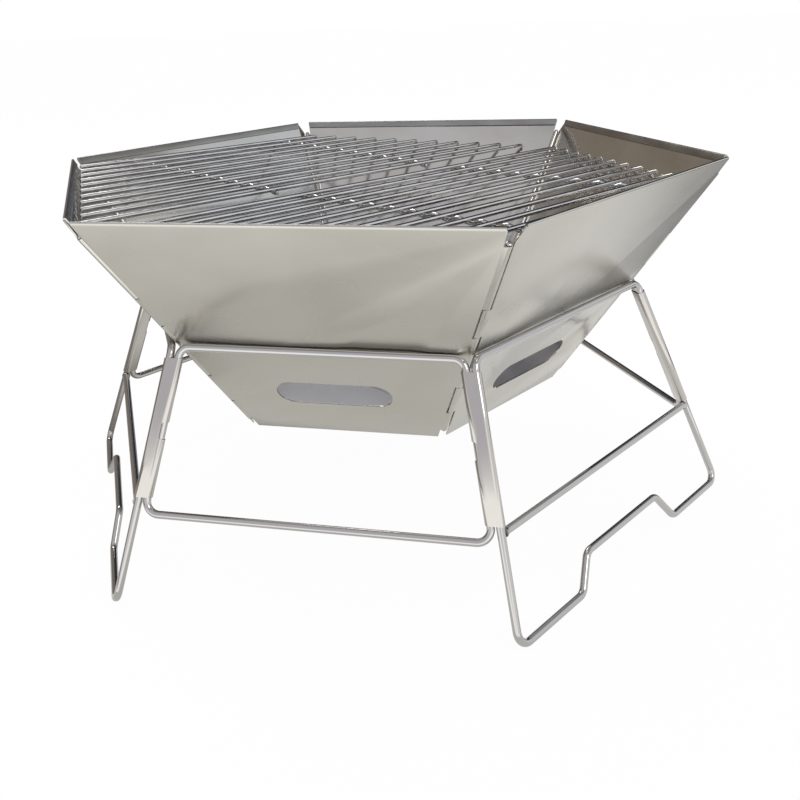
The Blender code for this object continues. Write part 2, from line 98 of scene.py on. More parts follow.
# Stand: the tall frames' legs lie on these corner lines.
WIRE_RADIUS = 0.0025
WIRE_SIDES = 24
FLOOR_FLAT_SIDES = 10
BELT_RADIUS = 0.1862
BELT_Z = 0.1557
FOOT_RADIUS = 0.2543
FOOT_Z = WIRE_RADIUS * math.cos(math.pi / FLOOR_FLAT_SIDES)
BEND_RADIUS = 0.008
BEND_STEPS = 10
FOOT_BAR_INNER = 0.0595
RISER_TOP_HALF = 0.0441
RISER_TOP_Z = 0.0224
CROSSBAR_Z = 0.0637
LOW_BAR_Z = 0.0579
WELD_REACH = 0.0030
# A weld's flare: the share of its reach, and the width there over the wire's own.
WELD_FLARE = ((0.0, 1.32), (0.25, 1.2408), (0.6, 1.06), (1.0, 1.0))

# Sleeves: each is one oval tube round a tall frame's leg and the next frame's side.
SLEEVE_BORE = 0.0028
SLEEVE_RADIUS = 0.0031
SLEEVE_SPACING = 0.0055
SLEEVE_ARC_STEPS = 24
SLEEVE_CHAMFER = 0.0001
SLEEVE_TOP_Z = 0.1492
SLEEVE_BOTTOM_Z = 0.0677
WINDOW_TOP_Z = 0.112
WINDOW_BOTTOM_Z = 0.102
WINDOW_REACH = 0.008
WINDOW_ROUND = 0.0016
WINDOW_ROUND_STEPS = 5

# Grates: two halves, split along the line from the front left corner to the back right one.
BAR_RADIUS = 0.0015
BAR_SIDES = 16
BAR_COUNT = 11
BAR_PITCH = 0.017
BAR_END_ROUND = 0.0005
BAR_END_GAP = 0.0027
# The far ends are turned down a little, which keeps them off the sheet that they lean on.
TURNDOWN_RADIUS = 0.0021
TURNDOWN_DEGREES = 70
TURNDOWN_STEPS = 6
ROD_RADIUS = 0.00125
ROD_SIDES = 12
ROD_OFFSET = 0.077
ROD_DROP = 0.0024
ROD_ARCH = 0.0021
ROD_END = 0.0035
ROD_STEPS = 6
# Each half lies loose and leans a little: which side of the split line it is on, how far from the
# line its first bar is, its height over the hexagon's middle, and its rise along +X and +Y.
GRATE_HALVES = {
    "grate_front_right": (1, 0.0102, 0.2286, (-0.013, -0.028)),
    "grate_back_left": (-1, 0.0215, 0.2280, (-0.045, -0.0075)),
}

# Plates inside the bowl.
COAL_PLATE_Z = 0.1042
ASH_PLATE_Z = 0.0878
PLATE_SHEET = 0.0012
PLATE_GAP = 0.0006
PLATE_CORNER_CUT = 0.0135
PLATE_EDGE = 0.0002
COAL_HOLE_RADIUS = 0.0075
COAL_HOLE_SIDES = 28
COAL_HOLE_PITCH = 0.030
COAL_RINGS = 2

# The angle from a corner to the middle of the side after it, in degrees.
CORNER_TO_SIDE = 30

CORNER_ANGLES = {
    "front_left": 240,
    "front_right": 300,
    "right": 0,
    "back_right": 60,
    "back_left": 120,
    "left": 180,
}
CORNERS = list(CORNER_ANGLES)
# At this corner the knuckles and the sleeve are hooks, open outwards by the slot gap.
PARTING_CORNER = "back_left"
SLOT_GAP = 0.0007
SIDES = ("front", "front_right", "back_right", "back", "back_left", "front_left")
UP = Vector((0, 0, 1))
SMOOTH_DEGREES = 32
CUT_EDGE_DEGREES = 40
EDGE_SEGMENTS = 2
# A tube's ring is stretched at a bend as if the bend's cosine were never under this.
SHARPEST_BEND = 0.5
MM = 0.001

BODY_OF = {node: body for body, nodes in frame["record"]["behaviour"]["bodies"].items() for node in nodes}


# Meshes.


def new_object(name, bm):
    bmesh.ops.recalc_face_normals(bm, faces=bm.faces)
    mesh = bpy.data.meshes.new(name)
    bm.to_mesh(mesh)
    bm.free()
    obj = bpy.data.objects.new(name, mesh)
    bpy.context.scene.collection.objects.link(obj)
    return obj


def settle(obj):
    """Makes the result of an object's modifiers its own mesh."""
    bpy.context.view_layer.update()
    graph = bpy.context.evaluated_depsgraph_get()
    mesh = bpy.data.meshes.new_from_object(obj.evaluated_get(graph))
    obj.modifiers.clear()
    obj.data = mesh


def boolean(obj, operation, tools):
    for tool in tools:
        modifier = obj.modifiers.new(operation.lower(), "BOOLEAN")
        modifier.operation = operation
        modifier.solver = "EXACT"
        modifier.object = tool
    settle(obj)
    for tool in tools:
        bpy.data.objects.remove(tool, do_unlink=True)


def soften_edges(obj, width):
    """Breaks the sharp edges of cut metal, which is what makes them catch the light."""
    modifier = obj.modifiers.new("edges", "BEVEL")
    modifier.width = width
    modifier.segments = EDGE_SEGMENTS
    modifier.limit_method = "ANGLE"
    modifier.angle_limit = math.radians(CUT_EDGE_DEGREES)
    settle(obj)


def dress(obj, node, material):
    """Gives a piece its finish and its body, and hides the solid that it stands for."""
    obj.data.materials.clear()
    obj.data.materials.append(material)
    obj.data.shade_smooth()
    obj.data.set_sharp_from_angle(angle=math.radians(SMOOTH_DEGREES))
    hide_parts(node)
    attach(obj, BODY_OF[node])


def lay_pattern(obj, origin, across, down):
    """A pattern map in metres along two directions of the piece."""
    mesh = obj.data
    layer = mesh.uv_layers.get("pattern") or mesh.uv_layers.new(name="pattern")
    for loop in mesh.loops:
        point = mesh.vertices[loop.vertex_index].co - origin
        layer.data[loop.index].uv = (point.dot(across), point.dot(down))


def around(angle_degrees, radius, z):
    angle = math.radians(angle_degrees)
    return Vector((radius * math.cos(angle), radius * math.sin(angle), z))


def rim_point(corner):
    return around(CORNER_ANGLES[corner], RIM_RADIUS, RIM_Z)


def bottom_point(corner):
    return around(CORNER_ANGLES[corner], BOTTOM_RADIUS, BOTTOM_Z)


def side_corners(side):
    index = SIDES.index(side)
    return CORNERS[index], CORNERS[(index + 1) % len(CORNERS)]


def leg_point(corner, z):
    rise = (z - FOOT_Z) / (BELT_Z - FOOT_Z)
    return around(CORNER_ANGLES[corner], FOOT_RADIUS + (BELT_RADIUS - FOOT_RADIUS) * rise, z)


def tube_rings(path, radii, sides, normal, closed, phase=0.0):
    """Rings of points round a path that stays in one plane with the given normal."""
    rings = []
    count = len(path)
    for index, point in enumerate(path):
        before = path[index - 1] if closed or index else point
        after = path[(index + 1) % count] if closed or index < count - 1 else point
        tangent = (after - before).normalized()
        across = normal.cross(tangent).normalized()
        # Where the path bends, the ring lies on the bisecting plane and is stretched to suit.
        into = (point - before).normalized() if point != before else tangent
        stretch = 1 / max(tangent.dot(into), SHARPEST_BEND)
        ring = []
        for side in range(sides):
            turn = phase + 2 * math.pi * side / sides
            out = across * (math.cos(turn) * stretch) + normal * math.sin(turn)
            ring.append(point + out * radii[index])
        rings.append(ring)
    return rings


def tube(path, radius, sides, normal, closed=False, radii=None):
    """A wire along a path, with its pattern map running along it."""
    bm = bmesh.new()
    pattern = bm.loops.layers.uv.new("pattern")
    radii = radii or [radius] * len(path)
    rings = [
        [bm.verts.new(point) for point in ring]
        for ring in tube_rings(path, radii, sides, normal, closed)
    ]
    run = [0.0]
    for first, second in zip(path, path[1:] + path[:1]):
        run.append(run[-1] + (second - first).length)
    girth = 2 * math.pi * radius / sides
    for index in range(len(rings) if closed else len(rings) - 1):
        first, second = rings[index], rings[(index + 1) % len(rings)]
        for side in range(sides):
            after = (side + 1) % sides
            face = bm.faces.new((first[side], first[after], second[after], second[side]))
            spots = ((side, index), (side + 1, index), (side + 1, index + 1), (side, index + 1))
            for loop, (turn, step) in zip(face.loops, spots):
                loop[pattern].uv = (turn * girth, run[step])
    if not closed:
        bm.faces.new(rings[0])
        bm.faces.new(reversed(rings[-1]))
    return bm


def rounded(points, radius, steps):
    """A closed polyline with each corner replaced by an arc of the bend radius."""
    path = []
    count = len(points)
    for index, corner in enumerate(points):
        back = (points[index - 1] - corner).normalized()
        ahead = (points[(index + 1) % count] - corner).normalized()
        half = back.angle(ahead) / 2
        reach = radius / math.tan(half)
        centre = corner + (back + ahead).normalized() * (radius / math.sin(half))
        start = corner + back * reach - centre
        axis = back.cross(ahead).normalized()
        sweep = math.pi - 2 * half
        for step in range(steps + 1):
            turn = Matrix.Rotation(-sweep * step / steps, 3, axis)
            path.append(centre + turn @ start)
    return path


def pipe(start, end, outer, bore, sides, normal):
    """A straight open tube with a wall and softened rims."""
    bm = bmesh.new()
    along = (end - start).normalized() * SHEET_EDGE
    stations = [start, start + along, end - along, end]
    outer_radii = [outer - SHEET_EDGE, outer, outer, outer - SHEET_EDGE]
    rings = []
    for radii in (outer_radii, [bore] * len(stations)):
        for ring in tube_rings(stations, radii, sides, normal, False, math.pi / sides):
            rings.append([bm.verts.new(point) for point in ring])
    count = len(stations)
    loops = rings[:count] + rings[:count - 1:-1]
    for index, first in enumerate(loops):
        second = loops[(index + 1) % len(loops)]
        for side in range(sides):
            after = (side + 1) % sides
            bm.faces.new((first[side], first[after], second[after], second[side]))
    return bm


def slab(outline, offset):
    """A flat outline pushed along an offset."""
    bm = bmesh.new()
    base = [bm.verts.new(point) for point in outline]
    top = [bm.verts.new(point + offset) for point in outline]
    bm.faces.new(base)
    bm.faces.new(reversed(top))
    for index in range(len(base)):
        after = (index + 1) % len(base)
        bm.faces.new((base[index], base[after], top[after], top[index]))
    return bm


# The bowl.


class PanelPlane:
    """Places a point given across a panel, down its slant and out of it."""

    def __init__(self, side):
        self.side = side
        self.first, self.second = side_corners(side)
        top_left, top_right = rim_point(self.first), rim_point(self.second)
        low_left, low_right = bottom_point(self.first), bottom_point(self.second)
        self.origin = (top_left + top_right) / 2
        down = (low_left + low_right) / 2 - self.origin
        self.slant = down.length
        self.down = down.normalized()
        self.across = (top_right - top_left).normalized()
        self.out = self.down.cross(self.across).normalized()
        self.top_half = (top_right - top_left).length / 2
        self.low_half = (low_right - low_left).length / 2

    def at(self, across, down, out):
        return self.origin + self.across * across + self.down * down + self.out * out

    def half_width(self, down):
        return self.top_half + (self.low_half - self.top_half) * down / self.slant

    def lean(self):
        """How much longer a line along an edge is than straight down the slant."""
        return math.hypot(1, (self.top_half - self.low_half) / self.slant)

    def rim_cut(self, hand):
        corner = self.second if hand > 0 else self.first
        wide = self.side not in ("front", "back") and corner not in ("left", "right")
        return WIDE_NOTCH if wide else NARROW_NOTCH

    def axis_point(self, hand, down):
        return self.at(hand * self.half_width(down), down, 0)

    def beside_axis(self, hand, down, depth):
        """Across and down of the point that lies a depth in from the pin, square to it."""
        run = math.hypot(self.slant, self.top_half - self.low_half)
        across = self.half_width(down) - depth * self.slant / run
        return hand * across, down - depth * (self.top_half - self.low_half) / run


def knuckle_spans(hand):
    ends = KNUCKLE_ENDS
    spans = list(zip(ends, ends[1:]))
    return spans[0::2] if hand > 0 else spans[1::2]


def edge_profile(plane, hand):
    """The sheet's edge from rim to bottom: out to the pin at its own knuckles, else cut back."""
    trim = KNUCKLE_GAP / 2 + TAB_TRIM
    steps = [(plane.rim_cut(hand), FOLD_RADIUS), (EDGE_RELIEF, TOP_NOTCH)]
    for start, end in knuckle_spans(hand):
        for depth, down in ((EDGE_RELIEF, start), (0.0, start), (0.0, end), (EDGE_RELIEF, end)):
            steps.append((depth, down + trim if down == start else down - trim))
    steps.append((EDGE_RELIEF, plane.slant))
    points = []
    for depth, down in steps:
        if down in (FOLD_RADIUS, plane.slant):
            points.append((hand * (plane.half_width(down) - depth * plane.lean()), down))
        else:
            points.append(plane.beside_axis(hand, down, depth))
    return points


def panel_sheet(plane):
    right, left = edge_profile(plane, 1), edge_profile(plane, -1)
    outline = [plane.at(x, y, KNUCKLE_RADIUS - SHEET) for x, y in right + left[::-1]]
    return slab(outline, plane.out * SHEET)


def fold_arc(radius):
    """Half a circle over the rim, from the outer face to the inner leaf."""
    centre = KNUCKLE_RADIUS - FOLD_RADIUS
    arc = []
    for step in range(FOLD_STEPS + 1):
        turn = math.pi * step / FOLD_STEPS
        arc.append((FOLD_RADIUS - radius * math.sin(turn), centre + radius * math.cos(turn)))
    return arc


def hem(plane):
    """The rim's edge folded over in a half circle and down inside, a little open at its lip."""
    outer = [(FOLD_RADIUS + HEM_OVERLAP, KNUCKLE_RADIUS)] + fold_arc(FOLD_RADIUS)
    inner = fold_arc(FOLD_RADIUS - SHEET) + [(HEM_HEIGHT, HEM_LIP + HEM_SHEET)]
    inner.insert(0, (FOLD_RADIUS + HEM_OVERLAP, KNUCKLE_RADIUS - SHEET))
    section = outer + [(HEM_HEIGHT, HEM_LIP)] + inner[::-1]
    slope = (plane.top_half - plane.low_half) / plane.slant
    left, right = [
        plane.top_half - plane.rim_cut(hand) * plane.lean() - HEM_END_GAP for hand in (-1, 1)
    ]
    outline = [plane.at(slope * down - left, down, out) for down, out in section]
    bm = slab(outline, plane.across)
    count = len(section)
    for index, vert in enumerate(list(bm.verts)[count:]):
        down, out = section[index]
        vert.co = plane.at(right - slope * down, down, out)
    return bm


def vent_cutter(plane):
    half = VENT_LENGTH / 2 - VENT_HEIGHT / 2
    outline = []
    for hand, start in ((1, -math.pi / 2), (-1, math.pi / 2)):
        for step in range(VENT_ARC_STEPS + 1):
            turn = start + math.pi * step / VENT_ARC_STEPS
            across = hand * half + VENT_HEIGHT / 2 * math.cos(turn)
            down = VENT_DOWN + VENT_HEIGHT / 2 * math.sin(turn)
            outline.append(plane.at(across, down, -CUTTER_BACK))
    return slab(outline, plane.out * CUTTER_DEPTH)


def outward_slot(axis, inward, out, radius):
    """A cutter that opens a tube outwards, so that what it holds can leave sideways."""
    along = (axis[0] - axis[1]).normalized()
    inward = (inward - along * inward.dot(along)).normalized()
    reach = SLOT_REACH * radius
    start, end = axis[0] + along * reach, axis[1] - along * reach
    near, far = inward * (radius + SLOT_GAP), -inward * reach
    return slab([start + near, start + far, end + far, end + near], out * reach)


def knuckle(plane, hand, start, end):
    top = plane.axis_point(hand, start + KNUCKLE_GAP / 2)
    low = plane.axis_point(hand, end - KNUCKLE_GAP / 2)
    return pipe(top, low, KNUCKLE_RADIUS, KNUCKLE_BORE, KNUCKLE_SIDES, plane.out)


def finish_faces(panel, plane, outer_material, hem_material):
    """The outer side is duller than the inside, and the folded leaf in the rim is darker by painted
    shade.
    """
    mesh = panel.data
    mesh.materials.append(outer_material)
    mesh.materials.append(hem_material)
    for face in mesh.polygons:
        from_rim = face.center - plane.origin
        folded = from_rim.dot(plane.down) < HEM_HEIGHT + SHEET_EDGE
        inside = from_rim.dot(plane.out) < KNUCKLE_RADIUS - FOLD_RADIUS
        if folded and inside:
            face.material_index = 2
        elif face.normal.dot(plane.out) > OUTER_FACING:
            face.material_index = 1


def make_panel(side, material, outer_material, hem_material):
    plane = PanelPlane(side)
    node = f"panel_{side}"
    panel = new_object(f"{node}_sheet", panel_sheet(plane))
    boolean(panel, "DIFFERENCE", [new_object("vent_tool", vent_cutter(plane))])
    soften_edges(panel, SHEET_EDGE)
    joins = [new_object("hem_tool", hem(plane))]
    for hand in (-1, 1):
        for start, end in knuckle_spans(hand):
            joins.append(new_object("knuckle_tool", knuckle(plane, hand, start, end)))
    boolean(panel, "UNION", joins)
    if plane.first == PARTING_CORNER:
        slots = []
        for start, end in knuckle_spans(-1):
            axis = [plane.axis_point(-1, down) for down in (start, end)]
            slots.append(new_object("slot_tool", outward_slot(axis, plane.across, plane.out, PIN_RADIUS)))
        boolean(panel, "DIFFERENCE", slots)
    lay_pattern(panel, plane.origin, plane.across, plane.down)
    dress(panel, node, material)
    finish_faces(panel, plane, outer_material, hem_material)


def make_hinge_pin(corner, material):
    """A pin through the knuckles of one corner, with a domed head at each end."""
    top, low = rim_point(corner), bottom_point(corner)
    plane = PanelPlane(SIDES[CORNERS.index(corner)])
    direction = (low - top).normalized()
    scale = (low - top).length / plane.slant
    length = (KNUCKLE_ENDS[-1] - KNUCKLE_ENDS[0]) * scale
    start = top + direction * (KNUCKLE_ENDS[0] * scale)
    dome = [(PIN_HEAD * rise, PIN_HEAD_RADIUS * share) for rise, share in PIN_DOME]
    stations = [(-PIN_END_GAP - rise, radius) for rise, radius in dome]
    stations.append((-PIN_END_GAP + PIN_STEP, PIN_RADIUS))
    stations.append((length + PIN_END_GAP - PIN_STEP, PIN_RADIUS))
    stations += [(length + PIN_END_GAP + rise, radius) for rise, radius in dome[::-1]]
    path = [start + direction * run for run, _ in stations]
    radii = [radius for _, radius in stations]
    bm = tube(path, PIN_RADIUS, PIN_SIDES, plane.out, False, radii)
    node = f"hinge_pin_{corner}"
    dress(new_object(f"{node}_rod", bm), node, material)


# The stand.


class FramePlane:
    """Places a point of a stand frame given across it and by its height."""

    def __init__(self, side):
        self.first, self.second = side_corners(side)
        left, right = leg_point(self.first, FOOT_Z), leg_point(self.second, FOOT_Z)
        top_left, top_right = leg_point(self.first, BELT_Z), leg_point(self.second, BELT_Z)
        self.across = (right - left).normalized()
        self.foot = (left + right) / 2
        self.rise = ((top_left + top_right) / 2 - self.foot) / (BELT_Z - FOOT_Z)
        self.up = self.rise.normalized()
        self.out = self.across.cross(self.up).normalized()
        self.foot_half = (right - left).length / 2
        self.belt_half = (top_right - top_left).length / 2

    def half_width(self, z):
        share = (z - FOOT_Z) / (BELT_Z - FOOT_Z)
        return self.foot_half + (self.belt_half - self.foot_half) * share

    def at(self, across, z):
        return self.foot + self.rise * (z - FOOT_Z) + self.across * across

    def leg_lean(self):
        climb = (self.rise * (BELT_Z - FOOT_Z)).length
        return (self.foot_half - self.belt_half) / climb

    def side_inset(self):
        return SLEEVE_SPACING * math.hypot(1, self.leg_lean())


def make_tall_frame(side, material):
    plane = FramePlane(side)
    corners = [
        (-plane.belt_half, BELT_Z),
        (plane.belt_half, BELT_Z),
        (plane.foot_half, FOOT_Z),
        (FOOT_BAR_INNER, FOOT_Z),
        (RISER_TOP_HALF, RISER_TOP_Z),
        (-RISER_TOP_HALF, RISER_TOP_Z),
        (-FOOT_BAR_INNER, FOOT_Z),
        (-plane.foot_half, FOOT_Z),
    ]
    path = rounded([plane.at(*corner) for corner in corners], BEND_RADIUS, BEND_STEPS)
    node = f"tall_frame_{side}"
    wire = new_object(f"{node}_wire", tube(path, WIRE_RADIUS, WIRE_SIDES, plane.out, True))
    dress(wire, node, material)


def make_crossbar(side, material):
    """The bar between a tall frame's legs, with the weld's flare at both ends."""
    plane = FramePlane(side)
    reach = plane.half_width(CROSSBAR_Z) - WIRE_RADIUS * math.hypot(1, plane.leg_lean())
    flare = [(WELD_REACH * run, WIRE_RADIUS * width) for run, width in WELD_FLARE]
    stations = [(-reach + run, radius) for run, radius in flare]
    stations += [(reach - run, radius) for run, radius in flare[::-1]]
    path = [plane.at(across, CROSSBAR_Z) for across, _ in stations]
    radii = [radius for _, radius in stations]
    node = f"crossbar_{side}"
    bar = new_object(f"{node}_wire", tube(path, WIRE_RADIUS, WIRE_SIDES, plane.out, False, radii))
    dress(bar, node, material)


def make_short_frame(side, material):
    plane = FramePlane(side)
    inset = plane.side_inset()
    corners = [
        (-plane.belt_half + inset, BELT_Z),
        (plane.belt_half - inset, BELT_Z),
        (plane.half_width(LOW_BAR_Z) - inset, LOW_BAR_Z),
        (-plane.half_width(LOW_BAR_Z) + inset, LOW_BAR_Z),
    ]
    path = rounded([plane.at(*corner) for corner in corners], BEND_RADIUS, BEND_STEPS)
    node = f"short_frame_{side}"
    wire = new_object(f"{node}_wire", tube(path, WIRE_RADIUS, WIRE_SIDES, plane.out, True))
    dress(wire, node, material)


def oval_block(axes, radius, plane, beyond=0.0):
    """An oval prism round two parallel lines, with level ends a little beyond theirs."""
    stretch = math.hypot(1, plane.leg_lean())
    along = (axes[0][0] - axes[0][1]).normalized()
    towards = (axes[1][1] - axes[0][1]).normalized()
    outline = []
    for (_, low), start in zip(axes, (90, -90)):
        for step in range(SLEEVE_ARC_STEPS + 1):
            turn = math.radians(start + 180 * step / SLEEVE_ARC_STEPS)
            side = towards * (radius * stretch * math.cos(turn)) + plane.out * (radius * math.sin(turn))
            outline.append(low - along * beyond + side)
    return slab(outline, axes[0][0] - axes[0][1] + along * (2 * beyond))


def make_sleeve(corner, side, material):
    """A strip wrapped round two legs as one oval tube, with a window on the frame's side."""
    plane = FramePlane(side)
    hand = -1 if corner == plane.first else 1
    inset = plane.side_inset()

    def on_line(z, inwards):
        return plane.at(hand * (plane.half_width(z) - inwards), z)

    axes = [[on_line(z, inwards) for z in (SLEEVE_TOP_Z, SLEEVE_BOTTOM_Z)] for inwards in (0, inset)]
    along = (axes[0][0] - axes[0][1]).normalized()
    node = f"sleeve_{corner}"
    sleeve = new_object(f"{node}_strip", oval_block(axes, SLEEVE_RADIUS, plane))
    cuts = [new_object("bore_tool", oval_block(axes, SLEEVE_BORE, plane, CUTTER_BACK))]
    inward = -hand * plane.across
    behind = -plane.out * CUTTER_DEPTH / 2
    high, deep = [on_line(z, inset) + behind for z in (WINDOW_TOP_Z, WINDOW_BOTTOM_Z)]
    window = [high, high + inward * WINDOW_REACH, deep + inward * WINDOW_REACH, deep]
    window = rounded(window, WINDOW_ROUND, WINDOW_ROUND_STEPS)
    cuts.append(new_object("window_tool", slab(window, plane.out * CUTTER_DEPTH)))
    if corner == PARTING_CORNER:
        slot = outward_slot(axes[0], inward, plane.out, WIRE_RADIUS)
        cuts.append(new_object("slot_tool", slot))
    boolean(sleeve, "DIFFERENCE", cuts)
    soften_edges(sleeve, SLEEVE_CHAMFER)
    lay_pattern(sleeve, axes[0][1], inward, along)
    dress(sleeve, node, material)


# Grates and plates.


class GratePlane:
    """Places a point of a grate half given along its bars and across them from the split line."""

    def __init__(self, node):
        self.hand, self.first_bar, self.height, self.rise = GRATE_HALVES[node]
        angle = math.radians(CORNER_ANGLES["back_right"])
        self.origin = UP * self.height
        self.along = self.leaning(math.cos(angle), math.sin(angle))
        self.across = self.leaning(math.sin(angle), -math.cos(angle)) * self.hand
        self.up = self.across.cross(self.along).normalized() * self.hand

    def leaning(self, x, y):
        return Vector((x, y, x * self.rise[0] + y * self.rise[1]))

    def at(self, along, across, up=0.0):
        return self.origin + self.along * along + self.across * across + self.up * up

    def bar_across(self, index):
        return self.first_bar + BAR_PITCH * index


def run_to_wall(point, direction):
    """How far a bar runs from a point inside the bowl until it ends before a panel."""
    slope = bowl_apothem(1) - bowl_apothem(0)
    runs = []
    for side in SIDES:
        outwards = around(CORNER_ANGLES[side_corners(side)[0]] + CORNER_TO_SIDE, 1, 0)
        closing = direction.dot(outwards) - slope * direction.z
        if closing > 0:
            runs.append((bowl_apothem(point.z) - BAR_END_GAP - point.dot(outwards)) / closing)
    return min(runs)


def grate_bar(plane, across):
    """A round bar, plain at its near end and turned down at its far end."""
    middle = plane.at(0, across)
    near = middle - plane.along * run_to_wall(middle, -plane.along)
    sweep = math.radians(TURNDOWN_DEGREES)
    reach = TURNDOWN_RADIUS * math.sin(sweep)
    # The turned end stops short by as much as the sheet leans in over the depth of the turn.
    bend = middle + plane.along * (run_to_wall(middle, plane.along) - reach - TURNDOWN_RADIUS / 2)
    path = [near, near + plane.along * BAR_END_ROUND]
    for step in range(TURNDOWN_STEPS + 1):
        turn = sweep * step / TURNDOWN_STEPS
        drop = plane.up * (TURNDOWN_RADIUS * (1 - math.cos(turn)))
        path.append(bend + plane.along * (TURNDOWN_RADIUS * math.sin(turn)) - drop)
    path.append(path[-1] + (path[-1] - path[-2]).normalized() * BAR_END_ROUND)
    radii = [BAR_RADIUS] * len(path)
    radii[0] = radii[-1] = BAR_RADIUS - BAR_END_ROUND
    return tube(path, BAR_RADIUS, BAR_SIDES, plane.along.cross(plane.up).normalized(), False, radii)


def crimped_rod(plane, offset):
    """A rod under the bars, welded to each bar and arched up a little between them."""
    path = [plane.at(offset, plane.bar_across(0) - ROD_END, -ROD_DROP)]
    for step in range(ROD_STEPS * (BAR_COUNT - 1) + 1):
        share = step / ROD_STEPS
        arch = ROD_ARCH * (1 - math.cos(2 * math.pi * share)) / 2
        path.append(plane.at(offset, plane.first_bar + BAR_PITCH * share, arch - ROD_DROP))
    path.append(plane.at(offset, plane.bar_across(BAR_COUNT - 1) + ROD_END, -ROD_DROP))
    return tube(path, ROD_RADIUS, ROD_SIDES, plane.across.cross(plane.up).normalized())


def make_grate_half(node, material):
    plane = GratePlane(node)
    half = new_object(f"{node}_rods", crimped_rod(plane, -ROD_OFFSET))
    joins = [new_object("rod_tool", crimped_rod(plane, ROD_OFFSET))]
    for index in range(BAR_COUNT):
        joins.append(new_object("bar_tool", grate_bar(plane, plane.bar_across(index))))
    boolean(half, "UNION", joins)
    lay_pattern(half, Vector(), plane.across, plane.along)
    dress(half, node, material)


def bowl_apothem(z):
    """Clear half width of the bowl between opposite sheets' inner faces at a height."""
    share = (z - BOTTOM_Z) / (RIM_Z - BOTTOM_Z)
    radius = BOTTOM_RADIUS + (RIM_RADIUS - BOTTOM_RADIUS) * share
    slope = (RIM_RADIUS - BOTTOM_RADIUS) * math.sqrt(3) / 2 / (RIM_Z - BOTTOM_Z)
    return radius * math.sqrt(3) / 2 + (KNUCKLE_RADIUS - SHEET) * math.hypot(1, slope)


def plate_outline(z, apothem):
    """A hexagon with its corners cut to clear the knuckles."""
    side = 2 * apothem / math.sqrt(3)
    points = []
    for angle in CORNER_ANGLES.values():
        tip = around(angle, side, z)
        for turn in (-120, 120):
            points.append(tip + around(angle + turn, PLATE_CORNER_CUT, 0))
    return points


def coal_holes():
    """Holes on a triangular grid, ring by ring round the middle."""
    found = []
    for row in range(-COAL_RINGS, COAL_RINGS + 1):
        count = 2 * COAL_RINGS + 1 - abs(row)
        for index in range(count):
            x = (index - (count - 1) / 2) * COAL_HOLE_PITCH
            found.append((x, row * COAL_HOLE_PITCH * math.sqrt(3) / 2))
    return found


def make_plate(node, z, holes, material):
    apothem = bowl_apothem(z) - PLATE_GAP
    plate = new_object(f"{node}_sheet", slab(plate_outline(z, apothem), UP * PLATE_SHEET))
    tools = []
    for x, y in holes:
        start = Vector((x, y, z - CUTTER_BACK))
        axis = [start, start + UP * CUTTER_DEPTH]
        hole = tube(axis, COAL_HOLE_RADIUS, COAL_HOLE_SIDES, Vector((1, 0, 0)))
        tools.append(new_object("hole_tool", hole))
    if tools:
        boolean(plate, "DIFFERENCE", tools)
    soften_edges(plate, PLATE_EDGE)
    lay_pattern(plate, Vector(), Vector((1, 0, 0)), Vector((0, 1, 0)))
    dress(plate, node, material)


# Materials.


def linear(hex_colour):
    """An sRGB hex value as linear colour."""
    channels = [int(hex_colour[start : start + 2], 16) / 255 for start in (1, 3, 5)]
    return tuple(c / 12.92 if c <= 0.04045 else ((c + 0.055) / 1.055) ** 2.4 for c in channels) + (1.0,)


def put(tree, kind, settings=None, inputs=None):
    """Adds a node with its settings; an input is given a value or another node's socket."""
    made = tree.nodes.new(kind)
    for name, value in (settings or {}).items():
        setattr(made, name, value)
    for name, value in (inputs or {}).items():
        if isinstance(value, bpy.types.NodeSocket):
            tree.links.new(value, made.inputs[name])
        else:
            made.inputs[name].default_value = value
    return made


# The colour sockets of a Mix node, by index because its names repeat.
MIX_A, MIX_B, MIX_COLOUR = 6, 7, 2


def bare_metal(name, colour, roughness):
    material = bpy.data.materials.new(name)
    material.use_nodes = True
    tree = material.node_tree
    shader = tree.nodes["Principled BSDF"]
    shader.inputs["Base Color"].default_value = linear(colour)
    shader.inputs["Metallic"].default_value = 1.0
    shader.inputs["Roughness"].default_value = roughness
    return material, tree, shader


def stretched_noise(tree, length_mm, width_mm, detail=2.0):
    """Noise whose blotches are so long and so wide, laid by the piece's pattern map."""
    where = put(tree, "ShaderNodeTexCoord").outputs["UV"]
    scale = (1 / (width_mm * MM), 1 / (length_mm * MM), 1.0)
    mapped = put(tree, "ShaderNodeMapping", None, {"Vector": where, "Scale": scale})
    inputs = {"Vector": mapped.outputs["Vector"], "Scale": 1.0, "Detail": detail}
    return put(tree, "ShaderNodeTexNoise", {"noise_dimensions": "2D"}, inputs).outputs["Fac"]


# The ranges of a noise's values that are spread over a roughness and over a colour.
ROUGHNESS_NOISE = {"From Min": 0.3, "From Max": 0.7}
COLOUR_NOISE = {"From Min": 0.35, "From Max": 0.65}


def vary_roughness(tree, shader, noise, low, high):
    inputs = {"Value": noise, "To Min": low, "To Max": high, **ROUGHNESS_NOISE}
    spread = put(tree, "ShaderNodeMapRange", None, inputs)
    tree.links.new(spread.outputs["Result"], shader.inputs["Roughness"])


def vary_colour(tree, shader, noise, dark, light):
    inputs = {"Value": noise, **COLOUR_NOISE}
    share = put(tree, "ShaderNodeMapRange", None, inputs).outputs["Result"]
    colours = {0: share, MIX_A: linear(dark), MIX_B: linear(light)}
    mixed = put(tree, "ShaderNodeMix", {"data_type": "RGBA"}, colours)
    tree.links.new(mixed.outputs[MIX_COLOUR], shader.inputs["Base Color"])


